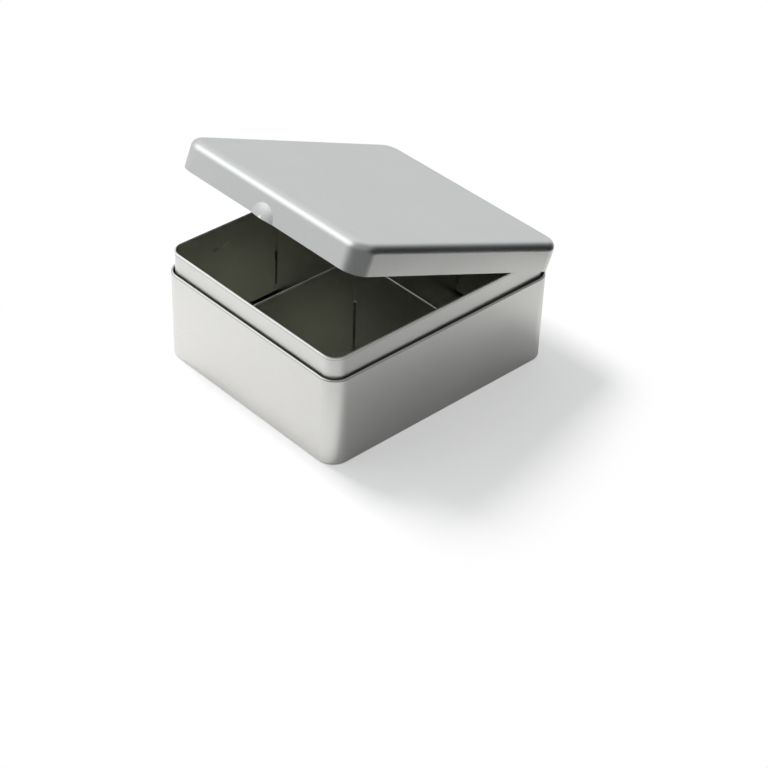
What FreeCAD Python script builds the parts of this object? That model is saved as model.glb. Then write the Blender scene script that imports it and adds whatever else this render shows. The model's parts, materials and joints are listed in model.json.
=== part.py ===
import FreeCAD, Part
import math
import os

import Sketcher

# Divided tin box: a rectangular tinplate box with a hinged lid, an inner sleeve that stands up as
# the neck, and two crossed dividers that make four compartments.
#
# Millimetres, +Z up, X along the hinge, +Y from the front (thumb dimple) to the back (hinge).
# The origin lies on the table, under the middle of the footprint of the tin with its lid ajar.

SIZES = (
    # alias, value, what it is
    ("body_width", 160.0, "outside width of the body, along the hinge"),
    ("body_depth", 184.0, "outside depth of the body, front to back"),
    ("shoulder_height", 62.6, "table to the top of the bead along the outer wall"),
    ("neck_height", 14.6, "top of the bead to the top of the sleeve's rim"),
    ("corner_radius", 12.0, "outside radius of the upright corners"),
    ("sheet", 0.4, "thickness of the tinplate"),
    ("bead_radius", 0.8, "outside radius of the bead, the wall's edge turned in"),
    ("bead_drop", 0.8, "how far the turned-in edge comes down below the bead's middle"),
    ("sleeve_inset", 2.65, "outer wall's face to the sleeve's outer face"),
    ("rim_radius", 0.65, "radius of the edge rolled up at the top of the sleeve"),
    ("sleeve_relief", 1.7, "height of the gap under the sleeve between its corner feet"),
    ("sleeve_foot", 6.0, "straight length of a corner foot beside the rounded corner"),
    ("foot_radius", 0.7, "outside radius of the fold at the foot"),
    ("seam_height", 2.2, "height of the folded seam at the foot"),
    ("seam_fit", 0.08, "air on each side of the base panel's flange in the seam"),
    ("base_lift", 6.1, "table to the underside of the base panel"),
    ("base_fold", 0.6, "flat across the fold between the floor and its flange, each way"),
    ("lid_height", 19.4, "height of the lid"),
    ("lid_edge_radius", 5.6, "outside radius round the lid's top edge"),
    ("lid_seat", 0.3, "shut lid's lower edge above the bead"),
    ("lid_hem", 2.6, "height of the folded hem round the lid's lower edge"),
    ("dimple_width", 19.0, "width of the thumb dimple at the lid's lower edge"),
    ("dimple_depth", 1.3, "how far the thumb dimple stands out of the lid"),
    ("lid_open_angle", 22.0, "angle at which the lid stands ajar, degrees"),
    ("divider_drop", 3.6, "top of the dividers below the top of the rim"),
    ("divider_gap", 0.1, "air between a divider's end and the sleeve"),
    ("divider_hem", 3.0, "height of the folded hem along a divider's top"),
    ("cross_shift", 2.7, "how far in front of the middle the cross divider stands"),
    ("slot_gap", 1.1, "air on each side of a divider in the other one's slot"),
    ("slot_overlap", 0.3, "air between the ends of the two slots"),
    ("tab_low", 8.0, "floor to the lower end of a divider's tab"),
    ("tab_height", 24.0, "height of the tab that passes through the sleeve"),
    ("tab_reach", 1.0, "how far a tab stands out behind the sleeve"),
    ("tab_gap", 0.6, "air round a tab in its slot"),
    ("slot_head", 6.5, "height of the wider head of a tab's slot"),
    ("slot_head_gap", 1.0, "air on each side of the tab in the slot's head"),
    ("tongue_low", 2.6, "floor to the lower end of the tongue at a divider's end"),
    ("tongue_height", 4.6, "height of the tongue"),
    ("tongue_width", 1.2, "how far the tongue is bent out along the sleeve"),
    ("pin_radius", 0.8, "radius of the hinge wire"),
    ("pin_fit", 0.08, "radial air between the hinge wire and a knuckle"),
    ("pin_over", 0.5, "how far a wire stands out of its knuckles at each end"),
    ("hinge_rise", 0.5, "hinge axis above the top of the bead"),
    ("hinge_length", 30.0, "length of one hinge along its three knuckles"),
    ("hinge_spacing", 92.0, "distance between the middles of the two hinges"),
    ("knuckle_gap", 0.4, "air between neighbouring knuckles"),
    ("strap_length", 7.5, "length of a hinge strap along the wall"),
    ("notch_gap", 0.6, "air round a hinge in the notch of the lid's skirt"),
)

doc = FreeCAD.newDocument("divided_tin")


class Size:
    """A length that keeps its spreadsheet expression beside its present value."""

    def __init__(self, text, number):
        self.text = text
        self.number = number

    def _join(self, sign, other, number):
        text = other.text if isinstance(other, Size) else "%.10g" % other
        return Size("(%s %s %s)" % (self.text, sign, text), number)

    def __add__(self, other):
        return self._join("+", other, self.number + plain(other))

    def __sub__(self, other):
        return self._join("-", other, self.number - plain(other))

    def __mul__(self, other):
        return self._join("*", other, self.number * plain(other))

    def __truediv__(self, other):
        return self._join("/", other, self.number / plain(other))

    def __neg__(self):
        return Size("(-1 * %s)" % self.text, -self.number)

    def root(self):
        return Size("sqrt(%s)" % self.text, math.sqrt(self.number))

    def sine(self):
        return Size("sin(%s)" % self.text, math.sin(math.radians(self.number)))

    def cosine(self):
        return Size("cos(%s)" % self.text, math.cos(math.radians(self.number)))


ZERO = Size("0", 0.0)


def plain(value):
    return value.number if isinstance(value, Size) else value


def fill_sheet():
    """Writes the driving dimensions into the spreadsheet and returns them as Sizes."""
    sheet = doc.addObject("Spreadsheet::Sheet", "Sizes")
    sizes = {}
    for row, (alias, value, meaning) in enumerate(SIZES, start=1):
        sheet.set("A%d" % row, meaning)
        sheet.set("B%d" % row, "%.10g" % value)
        sheet.setAlias("B%d" % row, alias)
        sizes[alias] = Size("Sizes.%s" % alias, value)
    doc.recompute()
    return sizes


class Measures:
    """The driving dimensions, and the sizes that several pieces share, each worked out once."""

    def __init__(self, sizes):
        for alias, size in sizes.items():
            setattr(self, alias, size)
        # Bead and rim.
        self.bead_middle = self.shoulder_height - self.bead_radius
        self.rim_top = self.shoulder_height + self.neck_height
        self.rim_middle = self.rim_top - self.rim_radius
        # Foot seam: two layers of wall with the base panel's flange and its air between them.
        self.seam_depth = self.sheet * 3 + self.seam_fit * 2
        self.flange_foot = self.sheet + self.seam_fit
        self.floor_level = self.base_lift + self.sheet
        # Hinge: knuckles rolled round the wire, tangent to the plane of the back wall.
        self.knuckle_inner = self.pin_radius + self.pin_fit
        self.knuckle_outer = self.knuckle_inner + self.sheet
        self.axis_level = self.shoulder_height + self.hinge_rise
        self.lid_bottom = self.lid_seat - self.hinge_rise
        self.lid_top = self.lid_bottom + self.lid_height
        self.outer_knuckle = (self.hinge_length - self.knuckle_gap * 2) / 4
        self.middle_knuckle = self.hinge_length / 2 - self.knuckle_gap
        # The open lid leans out behind the back wall, and the origin is midway along that footprint.
        edge_back = self.knuckle_outer + self.lid_edge_radius
        edge_up = self.lid_top - self.lid_edge_radius
        lean = edge_up * self.lid_open_angle.sine() - edge_back * self.lid_open_angle.cosine()
        self.rear_reach = self.knuckle_outer + self.lid_edge_radius + lean
        self.centre_y = -(self.rear_reach / 2)
        self.axis_y = self.centre_y + self.body_depth / 2 + self.knuckle_outer
        # Dividers.
        self.divider_top = self.rim_top - self.divider_drop
        self.slot_middle = (self.divider_top + self.floor_level) / 2
        self.slot_width = self.sheet + self.slot_gap * 2
        self.tab_foot = self.floor_level + self.tab_low
        self.tab_top = self.tab_foot + self.tab_height


def bind(item, path, size):
    """Ties a property to the spreadsheet, or sets it where the size is a bare number."""
    if isinstance(size, Size):
        item.setExpression(path, size.text)
    else:
        setattr(item, path, size)


def new_body(label):
    body = doc.addObject("PartDesign::Body", label)
    body.Label = label
    return body


def new_sketch(body, role, name, offset=None):
    """A sketch on one of the body's own origin planes, moved along its normal by offset."""
    sketch = body.newObject("Sketcher::SketchObject", name)
    plane = [item for item in body.Origin.OriginFeatures if item.Role == role][0]
    sketch.AttachmentSupport = [(plane, "")]
    sketch.MapMode = "FlatFace"
    if offset is not None:
        bind(sketch, "AttachmentOffset.Base.z", offset)
    return sketch


class Outline:
    """Draws one closed outline in a sketch, each corner held by expressions from the origin."""

    def __init__(self, sketch, x, y):
        self.sketch = sketch
        self.start = (x, y)
        self.here = (x, y)
        self.first = None
        self.last = None

    def _hold(self, kind, geometry, point, size):
        constraint = Sketcher.Constraint(kind, -1, 1, geometry, point, plain(size))
        index = self.sketch.addConstraint(constraint)
        if isinstance(size, Size):
            self.sketch.setExpression("Constraints[%d]" % index, size.text)

    def _add(self, geometry, begin, end, target):
        """Joins a new edge to the chain and holds its far corner."""
        if self.last is not None:
            self.sketch.addConstraint(
                Sketcher.Constraint("Coincident", self.last[0], self.last[1], geometry, begin))
        else:
            self.first = (geometry, begin)
            self._hold("DistanceX", geometry, begin, self.start[0])
            self._hold("DistanceY", geometry, begin, self.start[1])
        if target is None:
            self.sketch.addConstraint(
                Sketcher.Constraint("Coincident", geometry, end, self.first[0], self.first[1]))
        else:
            self._hold("DistanceX", geometry, end, target[0])
            self._hold("DistanceY", geometry, end, target[1])
            self.here = target
        self.last = (geometry, end)

    def line_to(self, x=None, y=None):
        """A straight edge. A coordinate left out stays as it is."""
        target = (self.here[0] if x is None else x, self.here[1] if y is None else y)
        self._straight(target, target)
        return self

    def close(self):
        self._straight(self.start, None)
        return self

    def _straight(self, target, held):
        edge = Part.LineSegment(
            FreeCAD.Vector(plain(self.here[0]), plain(self.here[1]), 0),
            FreeCAD.Vector(plain(target[0]), plain(target[1]), 0))
        self._add(self.sketch.addGeometry(edge, False), 1, 2, held)

    def arc_to(self, x, y, centre_x, centre_y, turn="left"):
        """A round edge about a centre, turning left (anticlockwise) or right."""
        self._round((x, y), (centre_x, centre_y), turn, (x, y))
        return self

    def close_arc(self, centre_x, centre_y, turn="left"):
        self._round(self.start, (centre_x, centre_y), turn, None)
        return self

    def _round(self, target, centre, turn, held):
        cx, cy = plain(centre[0]), plain(centre[1])
        near = (plain(self.here[0]) - cx, plain(self.here[1]) - cy)
        far = (plain(target[0]) - cx, plain(target[1]) - cy)
        turns_left = turn == "left"
        begin, end = (near, far) if turns_left else (far, near)
        circle = Part.Circle(FreeCAD.Vector(cx, cy, 0), FreeCAD.Vector(0, 0, 1), math.hypot(*near))
        first = math.atan2(begin[1], begin[0])
        last = math.atan2(end[1], end[0])
        if last <= first:
            last += 2 * math.pi
        index = self.sketch.addGeometry(Part.ArcOfCircle(circle, first, last), False)
        self._add(index, 1 if turns_left else 2, 2 if turns_left else 1, held)
        # Both ends are held, so one more coordinate of the centre settles the arc.
        if abs(near[1] - far[1]) >= abs(near[0] - far[0]):
            self._hold("DistanceX", index, 3, centre[0])
        else:
            self._hold("DistanceY", index, 3, centre[1])


def draw_rounded(sketch, width, depth, radius, middle=0.0):
    """A rounded rectangle about (0, middle), begun halfway up its right side."""
    right = width / 2
    back = depth / 2 + middle
    front = -(depth / 2) + middle
    outline = Outline(sketch, right, middle)
    outline.line_to(y=back - radius)
    outline.arc_to(right - radius, back, right - radius, back - radius)
    outline.line_to(x=-right + radius)
    outline.arc_to(-right, back - radius, -right + radius, back - radius)
    outline.line_to(y=front + radius)
    outline.arc_to(-right + radius, front, -right + radius, front + radius)
    outline.line_to(x=right - radius)
    outline.arc_to(right, front + radius, right - radius, front + radius)
    outline.close()


def draw_box(sketch, left, right, low, high):
    Outline(sketch, left, low).line_to(x=right).line_to(y=high).line_to(x=left).close()


def draw_inset(sketch, m, inset, middle=0.0):
    """The tin's outline, drawn in from the outer wall by inset."""
    draw_rounded(
        sketch, m.body_width - inset * 2, m.body_depth - inset * 2, m.corner_radius - inset, middle)


def pad(body, sketch, length, name, both_ways=False):
    feature = body.newObject("PartDesign::Pad", name)
    feature.Profile = sketch
    feature.Midplane = both_ways
    bind(feature, "Length", length)
    return feature


def pocket(body, sketch, length, name, both_ways=False):
    feature = body.newObject("PartDesign::Pocket", name)
    feature.Profile = sketch
    feature.Midplane = both_ways
    bind(feature, "Length", length)
    return feature


def dress_edges(body, kind, name, size, wanted):
    """A Fillet or a Chamfer on every edge of the body's present shape that the test picks out."""
    doc.recompute()
    base = body.Tip
    edges = ["Edge%d" % (index + 1) for index, edge in enumerate(base.Shape.Edges) if wanted(edge)]
    feature = body.newObject("PartDesign::" + kind, name)
    feature.Base = (base, edges)
    feature.UseAllEdges = False
    bind(feature, "Radius" if kind == "Fillet" else "Size", size)
    return feature


def hollow(body, name, sheet, open_face):
    """Turns the solid into a shell of one sheet's thickness, open at the face the test picks out."""
    doc.recompute()
    base = body.Tip
    faces = ["Face%d" % (index + 1) for index, face in enumerate(base.Shape.Faces) if open_face(face)]
    feature = body.newObject("PartDesign::Thickness", name)
    feature.Base = (base, faces)
    feature.Reversed = True
    feature.Join = "Intersection"
    bind(feature, "Value", sheet)
    return feature


def level_edge(height):
    """Tests for an edge that lies all at one height."""
    def test(edge):
        box = edge.BoundBox
        return abs(box.ZMin - height) < 1e-3 and abs(box.ZMax - height) < 1e-3
    return test


def level_face(height):
    def test(face):
        return abs(face.CenterOfMass.z - height) < 1e-3 and face.Surface.TypeId == "Part::GeomPlane"
    return test


# ---------------------------------------------------------------- body shell


def draw_wall_section(sketch, m):
    """The outer wall's section: folded foot, wall, and the bead that its top edge is turned in to.

    Drawn at the right wall, x outwards and y up: the outer face first, then back along the inner.
    Inside the bead the sheet is pressed nearly shut.
    """
    wall = m.body_width / 2
    sheet = m.sheet
    flange = wall - m.seam_depth
    bead_x = wall - m.bead_radius
    edge_x = wall - m.bead_radius * 2
    outline = Outline(sketch, flange + sheet, m.seam_height)
    outline.line_to(x=flange)
    outline.line_to(y=ZERO)
    outline.line_to(x=wall - m.foot_radius)
    outline.arc_to(wall, m.foot_radius, wall - m.foot_radius, m.foot_radius)
    outline.line_to(y=m.bead_middle)
    outline.arc_to(edge_x, m.bead_middle, bead_x, m.bead_middle)
    outline.line_to(y=m.bead_middle - m.bead_drop)
    outline.line_to(x=edge_x + sheet)
    outline.line_to(y=m.bead_middle)
    outline.line_to(bead_x, m.shoulder_height - sheet)
    outline.line_to(wall - sheet, m.bead_middle)
    outline.line_to(y=sheet)
    outline.line_to(x=flange + sheet)
    outline.close()


def lead_round(body, m, name, draw_section):
    """One section of sheet led round the tin's outline."""
    path = new_sketch(body, "XY_Plane", name + "_path")
    draw_inset(path, m, ZERO)
    section = new_sketch(body, "XZ_Plane", name + "_section")
    draw_section(section, m)
    doc.recompute()
    wall = body.newObject("PartDesign::AdditivePipe", name)
    wall.Profile = section
    wall.Spine = (path, ["Edge%d" % (index + 1) for index in range(len(path.Shape.Edges))])


def make_body_shell(m):
    """The outer wall, with the body's knuckles rolled at the back."""
    body = new_body("body_shell")
    lead_round(body, m, "wall", draw_wall_section)
    axis_back = m.body_depth / 2 + m.knuckle_outer
    reach = (m.hinge_length - m.outer_knuckle) / 2
    for hinge, middle in hinge_middles(m):
        for side, place in (("a", middle - reach), ("b", middle + reach)):
            name = "body_knuckle_%s_%s" % (hinge, side)
            sketch = new_sketch(body, "YZ_Plane", name + "_section", place)
            draw_knuckle(sketch, m, axis_back, m.axis_level, "down")
            pad(body, sketch, m.outer_knuckle, name, both_ways=True)
    return place_on_tin(body, m)


def place_on_tin(body, m):
    """Sets a piece that is drawn about the tin's own upright axis in the frame."""
    bind(body, "Placement.Base.y", m.centre_y)
    return body


# ---------------------------------------------------------------- hinges


def hinge_middles(m):
    return (("left", -(m.hinge_spacing / 2)), ("right", m.hinge_spacing / 2))


def draw_knuckle(sketch, m, axis_y, axis_z, strap):
    """A strap that lies on the wall and rolls round the wire, two thirds of a turn.

    The strap runs down the body or up the lid from the knuckle, whose outer face meets the
    plane of the wall. The end of the roll stops short of the strap.
    """
    outer = m.knuckle_outer
    inner = m.knuckle_inner
    face = axis_y - outer
    end_back = math.cos(math.radians(60.0))
    end_side = math.sin(math.radians(60.0))
    turns = ("right", "left")
    strap_end = axis_z - m.strap_length
    if strap == "up":
        end_side = -end_side
        turns = ("left", "right")
        strap_end = axis_z + m.strap_length
    outline = Outline(sketch, face, strap_end)
    outline.line_to(y=axis_z)
    outline.arc_to(axis_y - outer * end_back, axis_z - outer * end_side, axis_y, axis_z, turns[0])
    outline.line_to(axis_y - inner * end_back, axis_z - inner * end_side)
    outline.arc_to(face + m.sheet, axis_z, axis_y, axis_z, turns[1])
    outline.line_to(y=strap_end)
    outline.close()


def make_pin(m, hinge, middle):
    """The hinge wire, cut off square a little outside the knuckles."""
    body = new_body("hinge_pin_" + hinge)
    sketch = new_sketch(body, "YZ_Plane", body.Label + "_section")
    circle = Part.Circle(FreeCAD.Vector(0, 0, 0), FreeCAD.Vector(0, 0, 1), m.pin_radius.number)
    sketch.addGeometry(circle, False)
    sketch.addConstraint(Sketcher.Constraint("Coincident", 0, 3, -1, 1))
    sketch.addConstraint(Sketcher.Constraint("Radius", 0, m.pin_radius.number))
    sketch.setExpression("Constraints[1]", m.pin_radius.text)
    pad(body, sketch, m.hinge_length + m.pin_over * 2, body.Label + "_wire", both_ways=True)
    bind(body, "Placement.Base.x", middle)
    bind(body, "Placement.Base.y", m.axis_y)
    bind(body, "Placement.Base.z", m.axis_level)
    return body


# ---------------------------------------------------------------- base panel


def make_base_panel(m):
    """A shallow pan, bottom up: its flange stands in the foot seam and its panel is the floor."""
    body = new_body("base_panel")
    inset = m.sheet + m.seam_fit
    outside = new_sketch(body, "XY_Plane", "base_outside", m.flange_foot)
    draw_inset(outside, m, inset)
    pad(body, outside, m.floor_level - m.flange_foot, "base_block")
    dress_edges(body, "Chamfer", "base_edge", m.base_fold, level_edge(m.floor_level.number))
    inside = new_sketch(body, "XY_Plane", "base_inside", m.base_lift)
    draw_inset(inside, m, inset + m.sheet)
    pocket(body, inside, m.base_lift - m.flange_foot, "base_hollow")
    return place_on_tin(body, m)


# ---------------------------------------------------------------- inner sleeve


def draw_sleeve_section(sketch, m):
    """The sleeve's section: a plain sheet with its top edge rolled up tight."""
    outer = m.body_width / 2 - m.sleeve_inset
    inner = outer - m.sheet
    drop = (m.rim_radius * m.rim_radius - m.sheet * m.sheet).root()
    outline = Outline(sketch, outer, m.floor_level)
    outline.line_to(y=m.rim_middle - drop)
    outline.arc_to(inner, m.rim_middle - m.rim_radius, inner, m.rim_middle)
    outline.line_to(y=m.floor_level)
    outline.close()


def cut_tab_slots(body, m, role, span, middle, name):
    """A slot with a wider head through each of two opposite walls, for a divider's tabs."""
    top = m.tab_top + m.tab_gap
    for part, gap, low in (("stem", m.tab_gap, m.tab_foot - m.tab_gap),
                           ("head", m.slot_head_gap, top - m.slot_head)):
        sketch = new_sketch(body, role, "%s_%s" % (name, part))
        half = m.sheet / 2 + gap
        draw_box(sketch, middle - half, middle + half, low, top)
        pocket(body, sketch, span, "%s_%s_cut" % (name, part), both_ways=True)


def cut_foot(body, m, role, across, span, name):
    """The low gap under two opposite walls, which leaves a foot beside each rounded corner."""
    half = across / 2 - m.corner_radius - m.sleeve_foot
    sketch = new_sketch(body, role, name)
    draw_box(sketch, -half, half, m.floor_level, m.floor_level + m.sleeve_relief)
    pocket(body, sketch, span, name + "_cut", both_ways=True)


def make_inner_sleeve(m):
    """The sleeve that lines the tin and stands up above the outer wall as its neck."""
    body = new_body("inner_sleeve")
    lead_round(body, m, "sleeve", draw_sleeve_section)
    cut_tab_slots(body, m, "YZ_Plane", m.body_width, -m.cross_shift, "cross_slot")
    cut_tab_slots(body, m, "XZ_Plane", m.body_depth, ZERO, "long_slot")
    cut_foot(body, m, "YZ_Plane", m.body_depth, m.body_width, "side_relief")
    cut_foot(body, m, "XZ_Plane", m.body_width, m.body_depth, "end_relief")
    return place_on_tin(body, m)


# ---------------------------------------------------------------- lid


def add_dimple(body, m, front):
    """Half a shallow dome, open below, pressed out of the middle of the front skirt."""
    half = m.dimple_width / 2
    depth = m.dimple_depth
    sheet = m.sheet
    radius = (half * half + depth * depth) / (depth * 2)
    centre = front - depth + radius
    outside = new_sketch(body, "YZ_Plane", "dimple_outside")
    bind(outside, "AttachmentOffset.Base.y", m.lid_bottom)
    outline = Outline(outside, front - depth, 0.0)
    outline.arc_to(front, half, centre, 0.0, turn="right")
    outline.line_to(x=front + sheet / 2).line_to(y=0.0).close()
    bulge = body.newObject("PartDesign::Revolution", "dimple_bulge")
    bulge.Profile = outside
    bulge.ReferenceAxis = (outside, ["H_Axis"])
    bulge.Midplane = True
    bulge.Angle = 180.0
    inside = new_sketch(body, "YZ_Plane", "dimple_inside")
    bind(inside, "AttachmentOffset.Base.y", m.lid_bottom)
    inner = radius - sheet
    to_wall = radius - depth - sheet
    mouth = (inner * inner - to_wall * to_wall).root()
    outline = Outline(inside, front - depth + sheet, 0.0)
    outline.arc_to(front + sheet, mouth, centre, 0.0, turn="right")
    outline.line_to(x=front + sheet * 4).line_to(y=0.0).close()
    scoop = body.newObject("PartDesign::Groove", "dimple_scoop")
    scoop.Profile = inside
    scoop.ReferenceAxis = (inside, ["H_Axis"])
    scoop.Midplane = True
    scoop.Angle = 180.0


def make_lid(m):
    """The lid, drawn shut about the hinge axis and then turned ajar."""
    body = new_body("lid")
    middle = -(m.knuckle_outer + m.body_depth / 2)
    front = -(m.knuckle_outer + m.body_depth)
    outline = new_sketch(body, "XY_Plane", "lid_outline", m.lid_bottom)
    draw_inset(outline, m, ZERO, middle)
    pad(body, outline, m.lid_height, "lid_block")
    dress_edges(body, "Fillet", "lid_edge", m.lid_edge_radius, level_edge(m.lid_top.number))
    hollow(body, "lid_sheet", m.sheet, level_face(m.lid_bottom.number))
    hem = new_sketch(body, "XY_Plane", "hem_outline", m.lid_bottom)
    draw_inset(hem, m, m.sheet * 0.5, middle)
    draw_inset(hem, m, m.sheet * 2, middle)
    pad(body, hem, m.lid_hem, "lid_hem_fold")
    add_dimple(body, m, front)
    for hinge, place in hinge_middles(m):
        reach = m.hinge_length / 2 + m.notch_gap
        notch = new_sketch(body, "XZ_Plane", "notch_outline_" + hinge, m.knuckle_outer + m.sheet)
        draw_box(notch, place - reach, place + reach, m.lid_bottom - m.sheet, m.knuckle_outer)
        pocket(body, notch, m.sheet * 4, "notch_" + hinge, both_ways=True)
    for hinge, place in hinge_middles(m):
        sketch = new_sketch(body, "YZ_Plane", "lid_knuckle_section_" + hinge, place)
        draw_knuckle(sketch, m, ZERO, ZERO, "up")
        pad(body, sketch, m.middle_knuckle, "lid_knuckle_" + hinge, both_ways=True)
    bind(body, "Placement.Base.y", m.axis_y)
    bind(body, "Placement.Base.z", m.axis_level)
    body.setExpression("Placement.Rotation.Axis.x", "1")
    body.setExpression("Placement.Rotation.Axis.y", "0")
    body.setExpression("Placement.Rotation.Axis.z", "0")
    bind(body, "Placement.Rotation.Angle", -m.lid_open_angle)
    return body


# ---------------------------------------------------------------- dividers


def draw_divider(sketch, m, half, slot_middle, slot_from):
    """A plate with a tab at each end and a slot, open at the top or the bottom, for the other."""
    tab = half + m.divider_gap + m.sheet + m.tab_reach
    left = slot_middle - m.slot_width / 2
    right = slot_middle + m.slot_width / 2
    low = m.floor_level
    high = m.divider_top
    outline = Outline(sketch, -half, low)
    if slot_from == "bottom":
        top_of_slot = m.slot_middle + m.slot_overlap / 2
        outline.line_to(x=left).line_to(y=top_of_slot).line_to(x=right).line_to(y=low)
    outline.line_to(x=half).line_to(y=m.tab_foot).line_to(x=tab).line_to(y=m.tab_top)
    outline.line_to(x=half).line_to(y=high)
    if slot_from == "top":
        foot_of_slot = m.slot_middle - m.slot_overlap / 2
        outline.line_to(x=right).line_to(y=foot_of_slot).line_to(x=left).line_to(y=high)
    outline.line_to(x=-half).line_to(y=m.tab_top).line_to(x=-tab).line_to(y=m.tab_foot)
    outline.line_to(x=-half).close()


def add_tongues(body, m, label, half, along_x, side):
    """A short tongue at each end, bent out to one side along the sleeve."""
    sketch = new_sketch(body, "XY_Plane", label + "_tongues", m.floor_level + m.tongue_low)
    far = (m.sheet / 2 + m.tongue_width) * side
    near = m.sheet / 2 * -side
    for end in (-half, half - m.sheet):
        if along_x:
            draw_box(sketch, end, end + m.sheet, far, near)
        else:
            draw_box(sketch, far, near, end, end + m.sheet)
    pad(body, sketch, m.tongue_height, label + "_tongue_pair")


def make_divider(m, label, role, length, slot_middle, slot_from):
    """A slotted divider plate whose top edge is folded over to double thickness."""
    body = new_body(label)
    half = length / 2 - m.sleeve_inset - m.sheet - m.divider_gap
    sketch = new_sketch(body, role, label + "_outline")
    draw_divider(sketch, m, half, slot_middle, slot_from)
    pad(body, sketch, m.sheet, label + "_plate", both_ways=True)
    fold = new_sketch(body, role, label + "_fold")
    low = m.divider_top - m.divider_hem
    if slot_from == "top":
        draw_box(fold, -half, slot_middle - m.slot_width / 2, low, m.divider_top)
        draw_box(fold, slot_middle + m.slot_width / 2, half, low, m.divider_top)
    else:
        draw_box(fold, -half, half, low, m.divider_top)
    pad(body, fold, m.sheet * 2, label + "_hem", both_ways=True)
    top = level_edge(m.divider_top.number)
    long_edge = m.slot_width.number * 2
    dress_edges(body, "Fillet", label + "_top", m.sheet * 0.85,
                lambda edge: top(edge) and edge.Length > long_edge)
    along_x = role == "XZ_Plane"
    add_tongues(body, m, label, half, along_x, -1 if along_x else 1)
    return place_on_tin(body, m)


# ---------------------------------------------------------------- the tin


def make_tin():
    m = Measures(fill_sheet())
    pieces = [make_body_shell(m), make_inner_sleeve(m), make_base_panel(m), make_lid(m)]
    pieces += [make_pin(m, hinge, middle) for hinge, middle in hinge_middles(m)]
    pieces.append(make_divider(m, "divider_long", "YZ_Plane", m.body_depth, -m.cross_shift, "top"))
    pieces.append(make_divider(m, "divider_cross", "XZ_Plane", m.body_width, ZERO, "bottom"))
    bind(pieces[-1], "Placement.Base.y", m.centre_y - m.cross_shift)
    doc.recompute()
    return pieces


def write_pieces(pieces):
    """Checks every object of the document, then writes each piece under its label."""
    for item in doc.Objects:
        if "Invalid" in item.State or "Error" in item.State:
            raise RuntimeError("%s is not up to date: %s" % (item.Name, item.State))
    for piece in pieces:
        if piece.Shape.isNull() or not piece.Shape.isValid() or len(piece.Shape.Solids) != 1:
            raise RuntimeError("%s is not one sound solid" % piece.Label)
    os.makedirs("parts", exist_ok=True)
    for piece in pieces:
        piece.Shape.exportStep(os.path.join("parts", piece.Label + ".step"))
        box = piece.Shape.BoundBox
        print("%-16s volume %9.1f  %7.1f..%6.1f  %7.1f..%6.1f  %6.1f..%6.1f" % (
            piece.Label, piece.Shape.Volume, box.XMin, box.XMax, box.YMin, box.YMax, box.ZMin, box.ZMax))


write_pieces(make_tin())
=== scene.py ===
import json
import math

import bpy
from mathutils import Matrix, Vector


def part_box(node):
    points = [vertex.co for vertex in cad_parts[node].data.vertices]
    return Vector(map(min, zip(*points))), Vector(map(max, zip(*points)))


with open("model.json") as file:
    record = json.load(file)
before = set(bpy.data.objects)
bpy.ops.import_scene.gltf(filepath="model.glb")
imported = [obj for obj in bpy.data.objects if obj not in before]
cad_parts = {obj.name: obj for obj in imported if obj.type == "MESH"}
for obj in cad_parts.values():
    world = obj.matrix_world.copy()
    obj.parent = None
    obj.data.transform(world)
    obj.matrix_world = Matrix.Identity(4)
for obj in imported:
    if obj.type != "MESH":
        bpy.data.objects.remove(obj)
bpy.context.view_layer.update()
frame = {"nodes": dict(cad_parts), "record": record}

bl_info = {
    "name": "Divided tin box",
    "version": (1, 0, 0),
    "blender": (4, 5, 0),
    "location": "3D View > Sidebar > Tin Box",
    "description": "Finishes, stage and camera for a hinged tin box with crossed dividers",
    "category": "Object",
}

MM = 0.001

# The sleeve stands in the middle of the tin's foot, and the rim is its highest edge.
SLEEVE_LOW, SLEEVE_HIGH = (Vector(corner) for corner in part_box("inner_sleeve"))
TIN_CENTRE = Vector(((SLEEVE_LOW.x + SLEEVE_HIGH.x) / 2, (SLEEVE_LOW.y + SLEEVE_HIGH.y) / 2, 0.0))
RIM = SLEEVE_HIGH.z
DIVIDER_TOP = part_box("divider_long")[1][2]

# The bead that closes the outer wall lies a little below the hinge's axis.
HINGE_AXIS = frame["record"]["behaviour"]["joints"][0]["pos_m"]
BEAD_TOP = HINGE_AXIS[2] - 0.5 * MM

# Features of the finish in a metre, and the levels of finer detail in them.
# Streaks are coarser than the grain and drawn out along the tin's width.
CLOUDS_PER_M = 22.0
WAVES_PER_M = 14.0
STREAKS_TO_GRAINS = 0.35
STREAK_STRETCH = (0.06, 1.0, 1.0)
GRAIN_DETAIL = 3.0
CLOUD_DETAIL = 3.0
STREAK_DETAIL = 2.0
WAVE_DETAIL = 1.0

# How far each moves the sheet's tone and its roughness, and where the tone is darkest and lightest.
GRAIN_TONE = 0.34
CLOUD_TONE = 0.14
STREAK_TONE = 0.06
TONE_DARK = 0.30
TONE_LIGHT = 0.70
GRAIN_ROUGH = 0.10
CLOUD_ROUGH = 0.05

# Heights of the painted lines along the walls, from the rim or the top of the bead, and how softly they
# end: the rim's painted highlight, painted shadow lines beneath the rim and the bead, and painted light
# in the crease.
RIM_HIGHLIGHT_FROM = RIM - 1.4 * MM
RIM_HIGHLIGHT_TO = RIM - 1.1 * MM
RIM_SHADOW_LINE = (RIM - 2.0 * MM, RIM - 1.5 * MM)
BEAD_SHADOW_LINE = (BEAD_TOP - 1.1 * MM, BEAD_TOP - 0.6 * MM)
CREASE = (BEAD_TOP - 4.0 * MM, BEAD_TOP + 1.6 * MM)
CREASE_SHARE = 0.8
LINE_SOFT = 0.2 * MM
HIGHLIGHT_SOFT = 0.4 * MM

# A face whose plane passes within this of the tin's middle is partly outside and partly inside.
FACING_SOFT = 4.0 * MM
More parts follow.
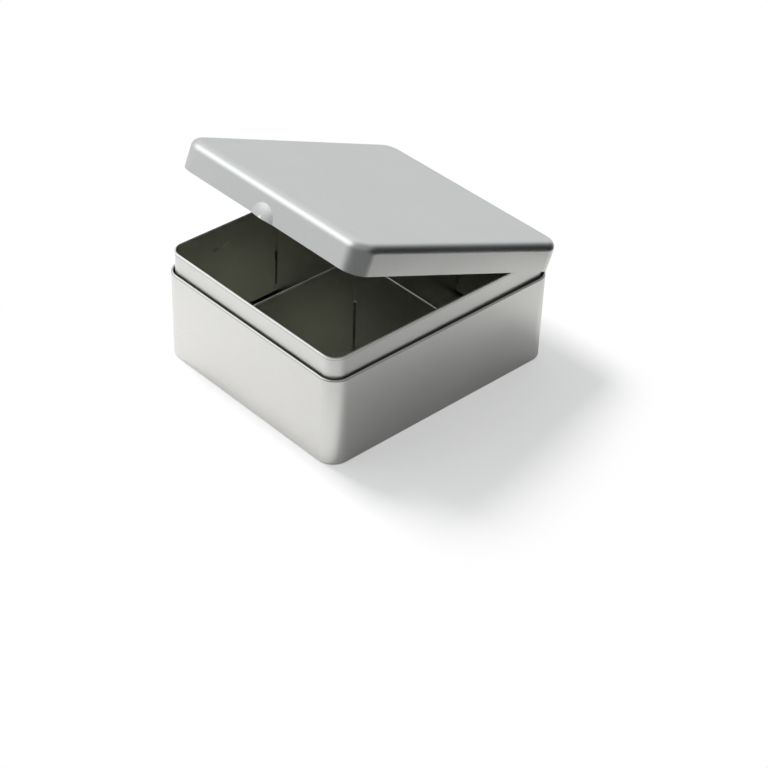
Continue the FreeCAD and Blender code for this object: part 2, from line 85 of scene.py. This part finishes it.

# The press mark, measured from the sleeve's left side, its front and its rim: a dent with painted shade
# on its dark side, and a raised line beside it with a painted highlight.
MARK_NEAR = SLEEVE_LOW.x + 0.1 * MM
MARK_FAR = SLEEVE_LOW.x + 3.6 * MM
DENT_Y = SLEEVE_LOW.y + 36.9 * MM
DENT_Z = RIM - 16.4 * MM
DENT_HALF_LENGTH = 3.0 * MM
DENT_HALF_HEIGHT = 1.2 * MM
DENT_EDGE = (0.4, 1.0)
DENT_SHADE = 0.5
MARK_LINE_Y = SLEEVE_LOW.y + 45.1 * MM
MARK_LINE_Z = RIM - 15.7 * MM
MARK_LINE_RISE = math.radians(23.75)
MARK_LINE_WIDTH = (0.3 * MM, 0.8 * MM)
MARK_LINE_LENGTH = (2.0 * MM, 3.0 * MM)
MARK_LINE_HIGHLIGHT = 0.8

# The room: the way to each part, and the cosines between which it fades in. The rises are sines of the
# angle above the horizon, between which the ceiling fades in and the doorway ends.
LEFT_WAY = (-0.95, 0.25, 0.0)
LEFT_FADE = (-0.45, 0.60)
WINDOW_WAY = Vector((-0.58, -0.52, 0.62)).normalized()
WINDOW_FADE = (0.84, 1.0)
DOORWAY_WAY = (0.60, 0.79, -0.05)
DOORWAY_FADE = (0.60, 0.90)
CEILING_RISE = (0.10, 0.80)
LINTEL_RISE = (0.15, 0.50)

# The floor's outline, and the shares of its radius between which it turns white.
FLOOR_SIDES = 64
FLOOR_FADE = (0.60, 0.95)

LAMP_AIM = Vector((0.0, 0.0, 0.06))
SENSOR_MM = 36.0
CLIP_NEAR = 0.05
CLIP_FAR = 50.0
WHITE = (1.0, 1.0, 1.0, 1.0)

# A Mix node's sockets share their names, so those for colours go by number.
MIX_FACTOR = 0
MIX_FIRST = 6
MIX_SECOND = 7
MIX_RESULT = 2


# ---------------------------------------------------------------- shader language


class Value:
    """A socket's value in a node tree. Arithmetic on it adds the nodes that work it out."""

    def __init__(self, tree, socket):
        self.tree = tree
        self.socket = socket

    def _math(self, operation, *values):
        node = self.tree.node("ShaderNodeMath", {"operation": operation}, dict(enumerate(values)))
        return node.out("Value")

    def _vector(self, operation, output, *values):
        node = self.tree.node("ShaderNodeVectorMath", {"operation": operation}, dict(enumerate(values)))
        return node.out(output)

    def __add__(self, other):
        return self._math("ADD", self, other)

    def __radd__(self, other):
        return self._math("ADD", other, self)

    def __sub__(self, other):
        return self._math("SUBTRACT", self, other)

    def __rsub__(self, other):
        return self._math("SUBTRACT", other, self)

    def __mul__(self, other):
        return self._math("MULTIPLY", self, other)

    def __rmul__(self, other):
        return self._math("MULTIPLY", other, self)

    def __truediv__(self, other):
        return self._math("DIVIDE", self, other)

    def __rtruediv__(self, other):
        return self._math("DIVIDE", other, self)

    def __abs__(self):
        return self._math("ABSOLUTE", self)

    def most(self, other):
        """The greater of the two."""
        return self._math("MAXIMUM", self, other)

    def ramp(self, low, high, start=0.0, end=1.0):
        """Start below low, end above high, and a smooth step between them."""
        node = self.tree.node(
            "ShaderNodeMapRange", {"interpolation_type": "SMOOTHSTEP"},
            {"Value": self, "From Min": low, "From Max": high, "To Min": start, "To Max": end})
        return node.out("Result")

    def dot(self, direction):
        return self._vector("DOT_PRODUCT", "Value", self, tuple(direction))

    def shifted(self, offset):
        return self._vector("ADD", "Vector", self, tuple(offset))

    def scaled(self, factors):
        return self._vector("MULTIPLY", "Vector", self, tuple(factors))

    def length(self):
        return self._vector("LENGTH", "Value", self)

    def parts(self):
        """The vector's X, Y and Z."""
        node = self.tree.node("ShaderNodeSeparateXYZ", {}, {0: self})
        return node.out("X"), node.out("Y"), node.out("Z")


class Node:
    """A node just made, whose outputs come back as Values."""

    def __init__(self, tree, item):
        self.tree = tree
        self.item = item

    def out(self, name):
        return Value(self.tree, self.item.outputs[name])


class Tree:
    """A node tree being built."""

    def __init__(self, owner):
        owner.use_nodes = True
        self.nodes = owner.node_tree.nodes
        self.links = owner.node_tree.links
        self.nodes.clear()

    def node(self, kind, settings=None, inputs=None):
        """Adds a node: its settings first, then the value or the link of each socket."""
        item = self.nodes.new(kind)
        for name, value in (settings or {}).items():
            setattr(item, name, value)
        for name, value in (inputs or {}).items():
            if isinstance(value, Value):
                self.links.new(value.socket, item.inputs[name])
            else:
                item.inputs[name].default_value = value
        return Node(self, item)

    def place(self):
        """Where a point is on its own piece, in metres."""
        return self.node("ShaderNodeTexCoord").out("Object")

    def facing(self):
        """The way the surface faces, in the piece's own axes."""
        return self.node("ShaderNodeTexCoord").out("Normal")

    def seen(self):
        """1 to the camera itself, 0 to reflections and to what the light falls on."""
        return self.node("ShaderNodeLightPath").out("Is Camera Ray")

    def noise(self, place, per_metre, detail):
        """A soft random pattern about 0, at most half up or down."""
        node = self.node(
            "ShaderNodeTexNoise", {"noise_dimensions": "3D"},
            {"Vector": place, "Scale": per_metre, "Detail": detail})
        return node.out("Fac") - 0.5

    def mix_colour(self, factor, first, second):
        """The first colour where factor is 0, the second where it is 1."""
        node = self.node(
            "ShaderNodeMix", {"data_type": "RGBA"},
            {MIX_FACTOR: factor, MIX_FIRST: first, MIX_SECOND: second})
        return node.out(MIX_RESULT)

    def mix_shader(self, factor, first, second):
        """The first shader where factor is 0, the second where it is 1."""
        return self.node("ShaderNodeMixShader", {}, {0: factor, 1: first, 2: second}).out("Shader")

    def bump(self, height, distance, normal=None):
        """Relief of that height, in shares of distance in metres, on top of what normal has."""
        inputs = {"Height": height, "Distance": distance, "Strength": 1.0}
        if normal is not None:
            inputs["Normal"] = normal
        return self.node("ShaderNodeBump", {}, inputs).out("Normal")


def opaque(colour):
    """The colour with full alpha."""
    return (colour[0], colour[1], colour[2], 1.0)


def band(height, low, high):
    """1 between two heights, in metres, and 0 away from them."""
    return height.ramp(low - LINE_SOFT, low) * height.ramp(high, high + LINE_SOFT, 1.0, 0.0)


# ---------------------------------------------------------------- finishes


class Tinplate:
    """A finish of satin tinplate: a fine matt grain, slow clouds and slightly uneven panels."""

    def __init__(self, name, metal):
        self.metal = metal
        self.material = bpy.data.materials.new(name)
        self.tree = Tree(self.material)
        self.place = self.tree.place()
        self.height = self.place.parts()[2]
        self.grain = self.tree.noise(self.place, metal.grain_per_m, GRAIN_DETAIL)
        self.cloud = self.tree.noise(self.place, CLOUDS_PER_M, CLOUD_DETAIL)

    def tone(self, streaks=None):
        """0 in the sheet's darkest specks and 1 in its lightest."""
        tone = self.grain * GRAIN_TONE + self.cloud * CLOUD_TONE + 0.5
        if streaks is not None:
            tone = tone + streaks * STREAK_TONE
        return tone.ramp(TONE_DARK, TONE_LIGHT)

    def streaks(self):
        """Faint streaks along the tin's width, left by the rolls."""
        drawn_out = self.place.scaled(STREAK_STRETCH)
        per_metre = self.metal.grain_per_m * STREAKS_TO_GRAINS
        return self.tree.noise(drawn_out, per_metre, STREAK_DETAIL)

    def relief(self):
        """The grain's relief on the panel's own slow waves."""
        waves = self.tree.noise(self.place, WAVES_PER_M, WAVE_DETAIL)
        panel = self.tree.bump(waves, self.metal.panel_wave)
        return self.tree.bump(self.grain, self.metal.grain_depth, panel)

    def faces_out(self):
        """1 on the faces that look out of the tin, 0 on those that look into it."""
        out_x, out_y, _ = self.place.shifted(-TIN_CENTRE).parts()
        face_x, face_y, _ = self.tree.facing().parts()
        return (out_x * face_x + out_y * face_y).ramp(-FACING_SOFT, FACING_SOFT)

    def two_sided(self, outside):
        """Colour and roughness of a wall: its own bright tone outside, and inside a darker, warmer tone
        that is painted shade.
        """
        metal = self.metal
        tone = self.tone()
        bright = self.tree.mix_colour(tone, opaque(metal.outside_low), opaque(metal.outside_high))
        shaded_inside = self.tree.mix_colour(tone, opaque(metal.shaded_inside_low), opaque(metal.shaded_inside_high))
        colour = self.tree.mix_colour(outside, shaded_inside, bright)
        rougher = metal.outside_roughness - metal.inside_roughness
        return colour, outside * rougher + metal.inside_roughness

    def painted(self, share, colour, other):
        """The colour, with the other in its place as far as share says."""
        return self.tree.mix_colour(share, colour, opaque(other))

    def finish(self, colour, roughness, normal):
        """Closes the material. Grain and clouds make its roughness uneven."""
        shader = self.tree.node("ShaderNodeBsdfPrincipled", {}, {
            "Base Color": colour,
            "Roughness": self.grain * GRAIN_ROUGH + self.cloud * CLOUD_ROUGH + roughness,
            "Metallic": 1.0,
            "Normal": normal})
        self.tree.node("ShaderNodeOutputMaterial", {}, {"Surface": shader.out("BSDF")})
        return self.material


def wall_finish(name, metal):
    """The outer wall: two-sided, with a fine painted shadow line beneath its bead."""
    plate = Tinplate(name, metal)
    outside = plate.faces_out()
    colour, roughness = plate.two_sided(outside)
    # A painted shadow line beneath the bead.
    shadow_line = band(plate.height, *BEAD_SHADOW_LINE) * outside * metal.shadow_line_share
    colour = plate.painted(shadow_line, colour, metal.shade)
    return plate.finish(colour, roughness, plate.relief())


def sleeve_finish(name, metal):
    """The sleeve: two-sided, with a painted highlight along its rim and a fine painted shadow line
    beneath it.

    It has painted light down in the crease behind the bead too, and has the press mark.
    """
    plate = Tinplate(name, metal)
    outside = plate.faces_out()
    colour, roughness = plate.two_sided(outside)
    # The press mark brings painted shade for its dent and a painted highlight for its raised line.
    dent, raised_line = pressed_mark(plate.place)
    # A painted highlight along the rim.
    highlit = plate.height.ramp(RIM_HIGHLIGHT_FROM, RIM_HIGHLIGHT_TO)
    # Painted light down in the crease behind the bead.
    crease = band(plate.height, *CREASE) * outside * CREASE_SHARE
    colour = plate.painted(highlit.most(crease).most(raised_line * MARK_LINE_HIGHLIGHT), colour, metal.painted_light_colour)
    # A painted shadow line beneath the rim, and painted shade on the dent's dark side.
    shadow_line = band(plate.height, *RIM_SHADOW_LINE) * outside * metal.shadow_line_share
    colour = plate.painted(shadow_line.most(dent * DENT_SHADE), colour, metal.shade)
    normal = plate.tree.bump(raised_line - dent, metal.mark_depth, plate.relief())
    return plate.finish(colour, roughness, normal)


def pressed_mark(place):
    """A small press mark on the left wall's inner face: a dent with painted shade, and a raised line
    beside it with a painted highlight.
    """
    across, along, up = place.parts()
    left = across.ramp(MARK_NEAR, MARK_FAR, 1.0, 0.0)
    dent_y = (along - DENT_Y) / DENT_HALF_LENGTH
    dent_z = (up - DENT_Z) / DENT_HALF_HEIGHT
    dent = (dent_y * dent_y + dent_z * dent_z).ramp(*DENT_EDGE, 1.0, 0.0) * left
    cosine, sine = math.cos(MARK_LINE_RISE), math.sin(MARK_LINE_RISE)
    run = (along - MARK_LINE_Y) * cosine + (up - MARK_LINE_Z) * sine
    off = (up - MARK_LINE_Z) * cosine - (along - MARK_LINE_Y) * sine
    raised_line = abs(off).ramp(*MARK_LINE_WIDTH, 1.0, 0.0) * abs(run).ramp(*MARK_LINE_LENGTH, 1.0, 0.0) * left
    return dent, raised_line


def sheet_finish(name, metal, dark, light, roughness, highlight_from=None):
    """Plain sheet with faint rolling streaks. Above the given height it is folded over and painted
    lighter, a painted highlight.
    """
    plate = Tinplate(name, metal)
    colour = plate.tree.mix_colour(plate.tone(plate.streaks()), opaque(dark), opaque(light))
    if highlight_from is not None:
        highlit = plate.height.ramp(highlight_from - HIGHLIGHT_SOFT, highlight_from)
        colour = plate.painted(highlit, colour, metal.painted_light_colour)
    return plate.finish(colour, roughness, plate.relief())


def dress(node, material):
    """Gives a CAD node's every face one finish."""
    piece = frame["nodes"][node]
    for slot in piece.material_slots:
        slot.material = material


# ---------------------------------------------------------------- stage


def lay_floor(stage):
    """A round pale table top, which melts into the white round it."""
    ring = [step * 2 * math.pi / FLOOR_SIDES for step in range(FLOOR_SIDES)]
    radius = stage.floor_radius
    mesh = bpy.data.meshes.new("floor")
    mesh.from_pydata(
        [(radius * math.cos(turn), radius * math.sin(turn), 0.0) for turn in ring],
        [], [range(FLOOR_SIDES)])
    floor = bpy.data.objects.new("floor", mesh)
    bpy.context.collection.objects.link(floor)
    mesh.materials.append(floor_finish(stage))


def floor_finish(stage):
    """Matt and pale, and whiter towards its edge as the camera sees it."""
    material = bpy.data.materials.new("pale_floor")
    tree = Tree(material)
    seen = tree.seen()
    colour = tree.mix_colour(seen, opaque(stage.floor_colour), opaque(stage.floor_seen))
    matt = tree.node("ShaderNodeBsdfDiffuse", {}, {"Color": colour})
    white = tree.node("ShaderNodeEmission", {}, {"Color": WHITE, "Strength": 1.0})
    from_middle = tree.place().length() / stage.floor_radius
    glow = from_middle.ramp(*FLOOR_FADE, stage.floor_glow, 1.0)
    both = tree.mix_shader(seen * glow, matt.out("BSDF"), white.out("Emission"))
    tree.node("ShaderNodeOutputMaterial", {}, {"Surface": both})
    return material


def light_room(stage):
    """A pale room: a window on the left, a bright ceiling, and a dark doorway behind on the right."""
    world = bpy.data.worlds.new("studio")
    bpy.context.scene.world = world
    tree = Tree(world)
    way = tree.node("ShaderNodeTexCoord").out("Generated")
    rise = way.parts()[2]
    left = way.dot(LEFT_WAY).ramp(*LEFT_FADE, stage.room_right, stage.room_left)
    above = rise.ramp(*CEILING_RISE, 0.0, stage.room_above)
    window = way.dot(WINDOW_WAY).ramp(*WINDOW_FADE, 0.0, stage.window)
    doorway = way.dot(DOORWAY_WAY).ramp(*DOORWAY_FADE) * rise.ramp(*LINTEL_RISE, 1.0, 0.0)
    room = (left + above + window) * (1 - doorway * stage.doorway)
    lit = tree.node("ShaderNodeBackground", {}, {"Color": opaque(stage.daylight), "Strength": room})
    plain = tree.node("ShaderNodeBackground", {}, {"Color": WHITE, "Strength": 1.0})
    both = tree.mix_shader(tree.seen(), lit.out("Background"), plain.out("Background"))
    tree.node("ShaderNodeOutputWorld", {}, {"Surface": both})


def hang_lamp(stage):
    """A square soft box that lights the floor, and that the tin doesn't mirror."""
    lamp = bpy.data.lights.new("soft_box_above", "AREA")
    lamp.shape = "SQUARE"
    lamp.size = stage.lamp_side
    lamp.energy = stage.lamp_power
    item = bpy.data.objects.new("soft_box_above", lamp)
    item.location = stage.lamp_place
    towards = LAMP_AIM - Vector(stage.lamp_place)
    item.rotation_euler = towards.to_track_quat("-Z", "Y").to_euler()
    item.visible_glossy = False
    bpy.context.collection.objects.link(item)


def set_camera(stage):
    """A camera that looks at the tin from its front right, a little tilted."""
    data = bpy.data.cameras.new("camera")
    data.sensor_width = SENSOR_MM
    data.lens = stage.lens
    data.clip_start = CLIP_NEAR
    data.clip_end = CLIP_FAR
    camera = bpy.data.objects.new("camera", data)
    turn, rise = stage.camera_turn, stage.camera_rise
    back = Vector((math.sin(turn) * math.cos(rise), -math.cos(turn) * math.cos(rise), math.sin(rise)))
    camera.location = TIN_CENTRE + Vector(stage.camera_aim) + back * stage.camera_distance
    level = (-back).to_track_quat("-Z", "Y")
    camera.rotation_mode = "QUATERNION"
    camera.rotation_quaternion = level @ Matrix.Rotation(stage.camera_roll, 3, "Z").to_quaternion()
    bpy.context.collection.objects.link(camera)
    bpy.context.scene.camera = camera


# ---------------------------------------------------------------- settings


class TinplateSettings(bpy.types.PropertyGroup):
    """The satin tinplate."""

    outside_high: bpy.props.FloatVectorProperty(
        name="Outside, light", description="Lighter tone of the outside", subtype="COLOR",
        default=(0.80, 0.80, 0.79))
    outside_low: bpy.props.FloatVectorProperty(
        name="Outside, dark", description="Darker tone of the outside", subtype="COLOR",
        default=(0.70, 0.70, 0.69))
    # The inside is the same tinplate; its darker, warmer tones are painted shade for the tin's shaded
    # inside.
    shaded_inside_high: bpy.props.FloatVectorProperty(
        name="Inside, light", description="Lighter tone of the inside", subtype="COLOR",
        default=(0.64, 0.64, 0.585))
    shaded_inside_low: bpy.props.FloatVectorProperty(
        name="Inside, dark", description="Darker tone of the inside", subtype="COLOR",
        default=(0.57, 0.57, 0.52))
    outside_roughness: bpy.props.FloatProperty(
        name="Outside roughness", description="How matt the outside is", subtype="FACTOR",
        default=0.36, min=0.0, max=1.0)
    inside_roughness: bpy.props.FloatProperty(
        name="Inside roughness", description="How matt the inside is", subtype="FACTOR",
        default=0.30, min=0.0, max=1.0)
    grain_per_m: bpy.props.FloatProperty(
        name="Grain", description="Grains of the matt finish in a metre", default=1400.0, min=100.0)
    grain_depth: bpy.props.FloatProperty(
        name="Grain depth", description="Relief of the grain", unit="LENGTH", precision=6,
        default=0.03 * MM, min=0.0)
    panel_wave: bpy.props.FloatProperty(
        name="Panel wave", description="Unevenness of the flat panels", unit="LENGTH", precision=5,
        default=0.5 * MM, min=0.0)
    # Painted light: the lighter colour of the painted highlights on the dividers' top edges, the rim and
    # the press mark's line, and of the painted light in the crease behind the bead.
    painted_light_colour: bpy.props.FloatVectorProperty(
        name="Painted light", description="Colour of the folded edges, the rim and the scratch",
        subtype="COLOR", default=(0.92, 0.92, 0.90))
    highlight_depth: bpy.props.FloatProperty(
        name="Fold depth", description="How far down a divider's rubbed edge reaches", unit="LENGTH",
        precision=5, default=0.9 * MM, min=0.0)
    # Painted shade: the dark lines beneath the rim and the bead, and the dent's dark side.
    shade: bpy.props.FloatVectorProperty(
        name="Shade", description="Colour down in the seams and the dent", subtype="COLOR",
        default=(0.16, 0.16, 0.15))
    shadow_line_share: bpy.props.FloatProperty(
        name="Seam shade", description="How dark the line beneath the rim and the bead is",
        subtype="FACTOR", default=0.30, min=0.0, max=1.0)
    mark_depth: bpy.props.FloatProperty(
        name="Mark depth", description="Relief of the press mark", unit="LENGTH", precision=5,
        default=0.15 * MM, min=0.0)
    wire_high: bpy.props.FloatVectorProperty(
        name="Hinge wire, light", description="Lighter tone of the hinge wires", subtype="COLOR",
        default=(0.62, 0.62, 0.61))
    wire_low: bpy.props.FloatVectorProperty(
        name="Hinge wire, dark", description="Darker tone of the hinge wires", subtype="COLOR",
        default=(0.527, 0.527, 0.5185))
    wire_roughness: bpy.props.FloatProperty(
        name="Hinge wire roughness", description="How matt the hinge wires are", subtype="FACTOR",
        default=0.30, min=0.0, max=1.0)


class StageSettings(bpy.types.PropertyGroup):
    """The floor, the room, the lamp and the camera."""

    floor_colour: bpy.props.FloatVectorProperty(
        name="Floor", description="Colour of the floor in reflections", subtype="COLOR",
        default=(0.74, 0.725, 0.71))
    floor_seen: bpy.props.FloatVectorProperty(
        name="Floor, seen", description="Colour of the floor as the camera sees it", subtype="COLOR",
        default=(0.87, 0.865, 0.86))
    floor_glow: bpy.props.FloatProperty(
        name="Floor white", description="Share of plain white in the floor as the camera sees it",
        subtype="FACTOR", default=0.45, min=0.0, max=1.0)
    floor_radius: bpy.props.FloatProperty(
        name="Floor radius", description="From the middle of the floor to its edge", unit="LENGTH",
        default=0.25, min=0.1)
    room_left: bpy.props.FloatProperty(
        name="Room, left", description="Brightness of the left side of the room", default=0.74, min=0.0)
    room_right: bpy.props.FloatProperty(
        name="Room, right", description="Brightness of the right side of the room", default=0.16, min=0.0)
    room_above: bpy.props.FloatProperty(
        name="Room, above", description="How much brighter the ceiling is", default=0.15, min=0.0)
    window: bpy.props.FloatProperty(
        name="Window", description="How much brighter the window is", default=0.85, min=0.0)
    doorway: bpy.props.FloatProperty(
        name="Doorway", description="Share of the room's light that the doorway takes away",
        subtype="FACTOR", default=0.92, min=0.0, max=1.0)
    daylight: bpy.props.FloatVectorProperty(
        name="Daylight", description="Colour of the room's light", subtype="COLOR",
        default=(0.965, 0.995, 1.0))
    lamp_power: bpy.props.FloatProperty(
        name="Lamp", description="Power of the soft box", unit="POWER", default=15.0, min=0.0)
    lamp_side: bpy.props.FloatProperty(
        name="Lamp size", description="Side of the soft box", unit="LENGTH", default=0.35, min=0.01)
    lamp_place: bpy.props.FloatVectorProperty(
        name="Lamp place", description="Where the soft box hangs", subtype="TRANSLATION", unit="LENGTH",
        default=(-0.66, -0.08, 1.10))
    lens: bpy.props.FloatProperty(
        name="Lens", description="Focal length in millimetres, on a 36 mm sensor", unit="CAMERA",
        default=94.3, min=10.0)
    camera_turn: bpy.props.FloatProperty(
        name="Camera turn", description="How far the camera stands round to the right of the front",
        subtype="ANGLE", default=math.radians(46.18))
    camera_rise: bpy.props.FloatProperty(
        name="Camera rise", description="The camera's angle above the horizon", subtype="ANGLE",
        default=math.radians(36.96))
    camera_roll: bpy.props.FloatProperty(
        name="Camera roll", description="The camera's tilt about its own line of sight", subtype="ANGLE",
        default=math.radians(2.30))
    camera_distance: bpy.props.FloatProperty(
        name="Camera distance", description="From the camera to the point it looks at", unit="LENGTH",
        default=1.293)
    camera_aim: bpy.props.FloatVectorProperty(
        name="Camera aim", description="The point it looks at, from the middle of the tin's foot",
        unit="LENGTH", default=(0.0216, 0.0048, -0.0163))


# ---------------------------------------------------------------- operators


class TINBOX_OT_body(bpy.types.Operator):
    """Finish the walls of the tin"""
    bl_idname = "tinbox.body"
    bl_label = "Walls"

    def execute(self, context):
        metal = context.scene.tinbox_plate
        dress("body_shell", wall_finish("satin_tinplate_wall", metal))
        dress("inner_sleeve", sleeve_finish("satin_tinplate_sleeve", metal))
        return {"FINISHED"}


class TINBOX_OT_lid(bpy.types.Operator):
    """Finish the lid"""
    bl_idname = "tinbox.lid"
    bl_label = "Lid"

    def execute(self, context):
        metal = context.scene.tinbox_plate
        dress("lid", sheet_finish(
            "satin_tinplate_lid", metal, metal.outside_low, metal.outside_high, metal.outside_roughness))
        return {"FINISHED"}


class TINBOX_OT_inside(bpy.types.Operator):
    """Finish the floor of the tin and its dividers"""
    bl_idname = "tinbox.inside"
    bl_label = "Floor and dividers"

    def execute(self, context):
        metal = context.scene.tinbox_plate
        # The floor and the dividers take the inside's darker tones, which are painted shade.
        look = (metal, metal.shaded_inside_low, metal.shaded_inside_high, metal.inside_roughness)
        dress("base_panel", sheet_finish("satin_tinplate_inside", *look))
        # The dividers' top edges get a painted highlight.
        folded = sheet_finish("satin_tinplate_divider", *look, DIVIDER_TOP - metal.highlight_depth)
        for node in ("divider_long", "divider_cross"):
            dress(node, folded)
        return {"FINISHED"}


class TINBOX_OT_wires(bpy.types.Operator):
    """Finish the hinge wires"""
    bl_idname = "tinbox.wires"
    bl_label = "Hinge wires"

    def execute(self, context):
        metal = context.scene.tinbox_plate
        finish = sheet_finish("drawn_wire", metal, metal.wire_low, metal.wire_high, metal.wire_roughness)
        for node in ("hinge_pin_left", "hinge_pin_right"):
            dress(node, finish)
        return {"FINISHED"}


class TINBOX_OT_stage(bpy.types.Operator):
    """Lay the floor, light the room and set the camera"""
    bl_idname = "tinbox.stage"
    bl_label = "Stage"

    def execute(self, context):
        stage = context.scene.tinbox_stage
        lay_floor(stage)
        light_room(stage)
        hang_lamp(stage)
        set_camera(stage)
        context.scene.view_settings.view_transform = "Standard"
        return {"FINISHED"}


class TINBOX_PT_panel(bpy.types.Panel):
    """The tin box's settings and pieces"""
    bl_idname = "TINBOX_PT_panel"
    bl_label = "Tin Box"
    bl_space_type = "VIEW_3D"
    bl_region_type = "UI"
    bl_category = "Tin Box"

    def draw(self, context):
        for group in (context.scene.tinbox_plate, context.scene.tinbox_stage):
            rows = self.layout.box()
            for name in group.__annotations__:
                rows.prop(group, name)
        for operator in OPERATORS:
            self.layout.operator(operator.bl_idname)


OPERATORS = (TINBOX_OT_body, TINBOX_OT_lid, TINBOX_OT_inside, TINBOX_OT_wires, TINBOX_OT_stage)
CLASSES = (TinplateSettings, StageSettings) + OPERATORS + (TINBOX_PT_panel,)


# ---------------------------------------------------------------- add-on


def register():
    for item in CLASSES:
        bpy.utils.register_class(item)
    bpy.types.Scene.tinbox_plate = bpy.props.PointerProperty(type=TinplateSettings)
    bpy.types.Scene.tinbox_stage = bpy.props.PointerProperty(type=StageSettings)


def unregister():
    del bpy.types.Scene.tinbox_plate
    del bpy.types.Scene.tinbox_stage
    for item in reversed(CLASSES):
        bpy.utils.unregister_class(item)


def main():
    register()
    bpy.ops.tinbox.body()
    bpy.ops.tinbox.lid()
    bpy.ops.tinbox.inside()
    bpy.ops.tinbox.wires()
    bpy.ops.tinbox.stage()


if __name__ == "__main__":
    main()
